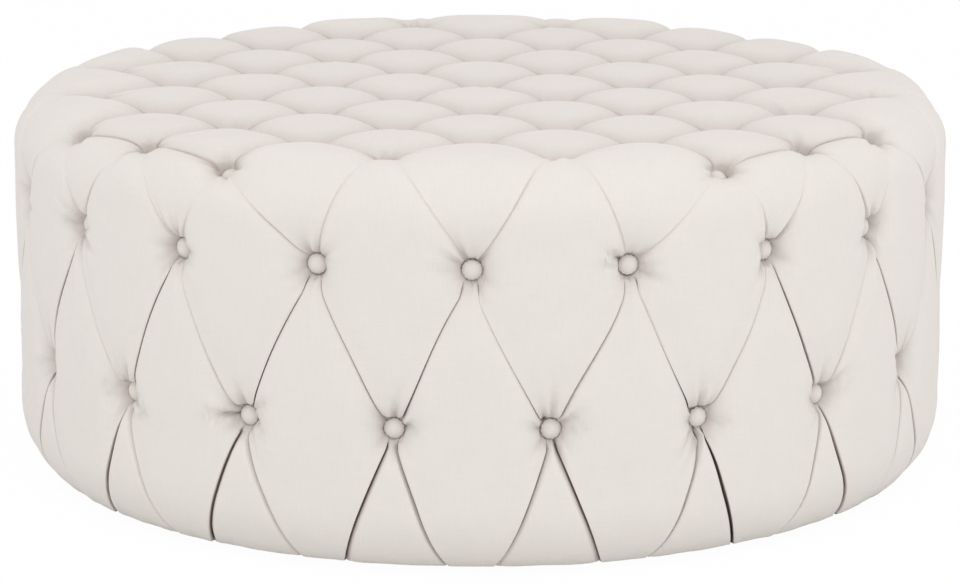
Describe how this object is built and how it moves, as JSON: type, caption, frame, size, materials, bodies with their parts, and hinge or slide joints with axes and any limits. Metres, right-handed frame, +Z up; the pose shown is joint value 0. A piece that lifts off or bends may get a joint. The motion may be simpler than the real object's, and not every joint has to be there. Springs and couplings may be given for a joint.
{
  "type": "ottoman coffee table",
  "caption": "Round button-tufted ottoman used as a low table, upholstered all over in pale linen on a wooden drum frame.",
  "frame": {"origin": "on the floor under the middle of the round table", "axes": "+Z up along the drum's axis; +X to the right and -Y to the front of the picture, along the tufting grid's rows"},
  "size_m": [1.0031, 1.0031, 0.4122],
  "materials": {
    "linen": "woven off-white linen",
    "button_linen": "the same linen drawn over a button",
    "wadding": "soft white fibre",
    "foam": "open-cell foam",
    "plywood": "sanded plywood",
    "timber": "planed softwood",
    "twine": "waxed twine",
    "washer_steel": "zinc plated",
    "staple_steel": "bright wire",
    "screw_steel": "zinc plated",
    "dust_cloth": "thin black non-woven cloth",
    "glide_plastic": "moulded, slightly worn"
  },
  "bodies": {
    "root": {"tufted_cover": "linen", "tufted_padding": "wadding", "top_foam": "foam", "side_foam": "foam", "deck_panel": "plywood", "side_wall": "plywood", "base_ring": "plywood", "wall_post_1": "timber", "wall_post_2": "timber", "wall_post_3": "timber", "wall_post_4": "timber", "wall_post_5": "timber", "wall_post_6": "timber", "wall_post_7": "timber", "wall_post_8": "timber", "joist_1": "timber", "joist_2": "timber", "joist_post_1": "timber", "joist_post_2": "timber", "joist_post_3": "timber", "joist_post_4": "timber", "top_buttons": "button_linen", "edge_buttons": "button_linen", "upper_side_buttons": "button_linen", "lower_side_buttons": "button_linen", "top_twines": "twine", "side_twines": "twine", "top_washers": "washer_steel", "side_washers": "washer_steel", "dust_cover": "dust_cloth", "hem_staples": "staple_steel", "dust_cover_staples": "staple_steel", "glide_1": "glide_plastic", "glide_2": "glide_plastic", "glide_3": "glide_plastic", "glide_4": "glide_plastic", "glide_5": "glide_plastic", "glide_6": "glide_plastic", "glide_7": "glide_plastic", "glide_8": "glide_plastic", "deck_screws": "screw_steel", "base_screws": "screw_steel", "glide_screws": "screw_steel"}
  },
  "joints": []
}
